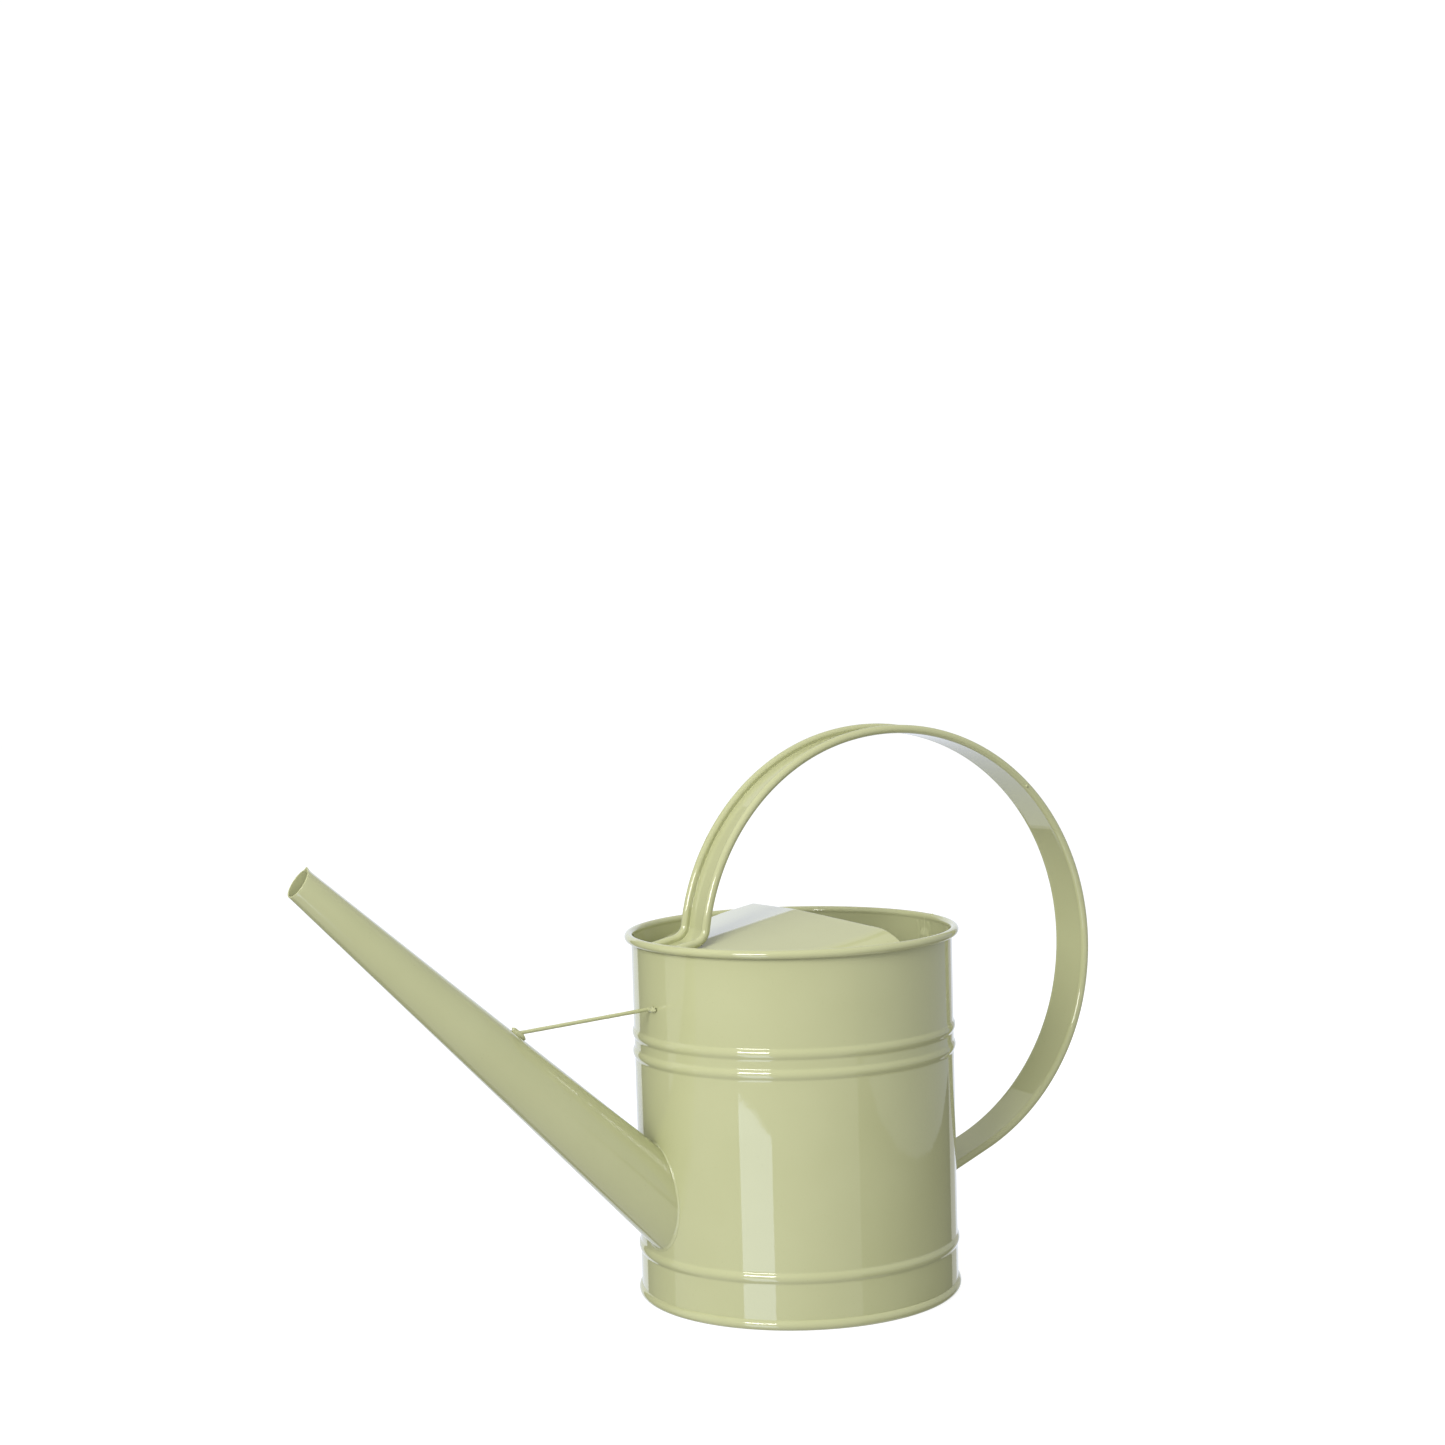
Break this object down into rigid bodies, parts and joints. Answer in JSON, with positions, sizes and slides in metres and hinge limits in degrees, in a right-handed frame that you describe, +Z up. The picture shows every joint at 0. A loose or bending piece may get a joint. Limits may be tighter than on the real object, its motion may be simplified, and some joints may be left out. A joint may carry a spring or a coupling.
{
  "type": "watering can",
  "caption": "Round painted sheet-steel watering can with a half cover, a hoop handle over its back and a long tapered spout held by a wire brace.",
  "frame": {"origin": "middle of the foot ring, on the ground", "axes": "+Z up, -X towards the spout's tip, +X towards the handle, +Y across the can"},
  "size_m": [0.485, 0.1862, 0.3125],
  "materials": {
    "paint": "gloss",
    "painted_solder": "gloss",
    "wire_steel": "drawn wire"
  },
  "bodies": {
    "root": {"body_wall": "paint", "rim_wire": "wire_steel", "base_pan": "paint", "base_solder": "painted_solder", "top_cover": "paint", "spout_tube": "paint", "spout_solder": "painted_solder", "brace_rod": "paint", "brace_front_solder": "painted_solder", "brace_rear_solder": "painted_solder", "handle_strip": "paint", "handle_wire_left": "wire_steel", "handle_wire_right": "wire_steel", "handle_front_solder": "painted_solder", "handle_rear_solder": "painted_solder"}
  },
  "joints": []
}
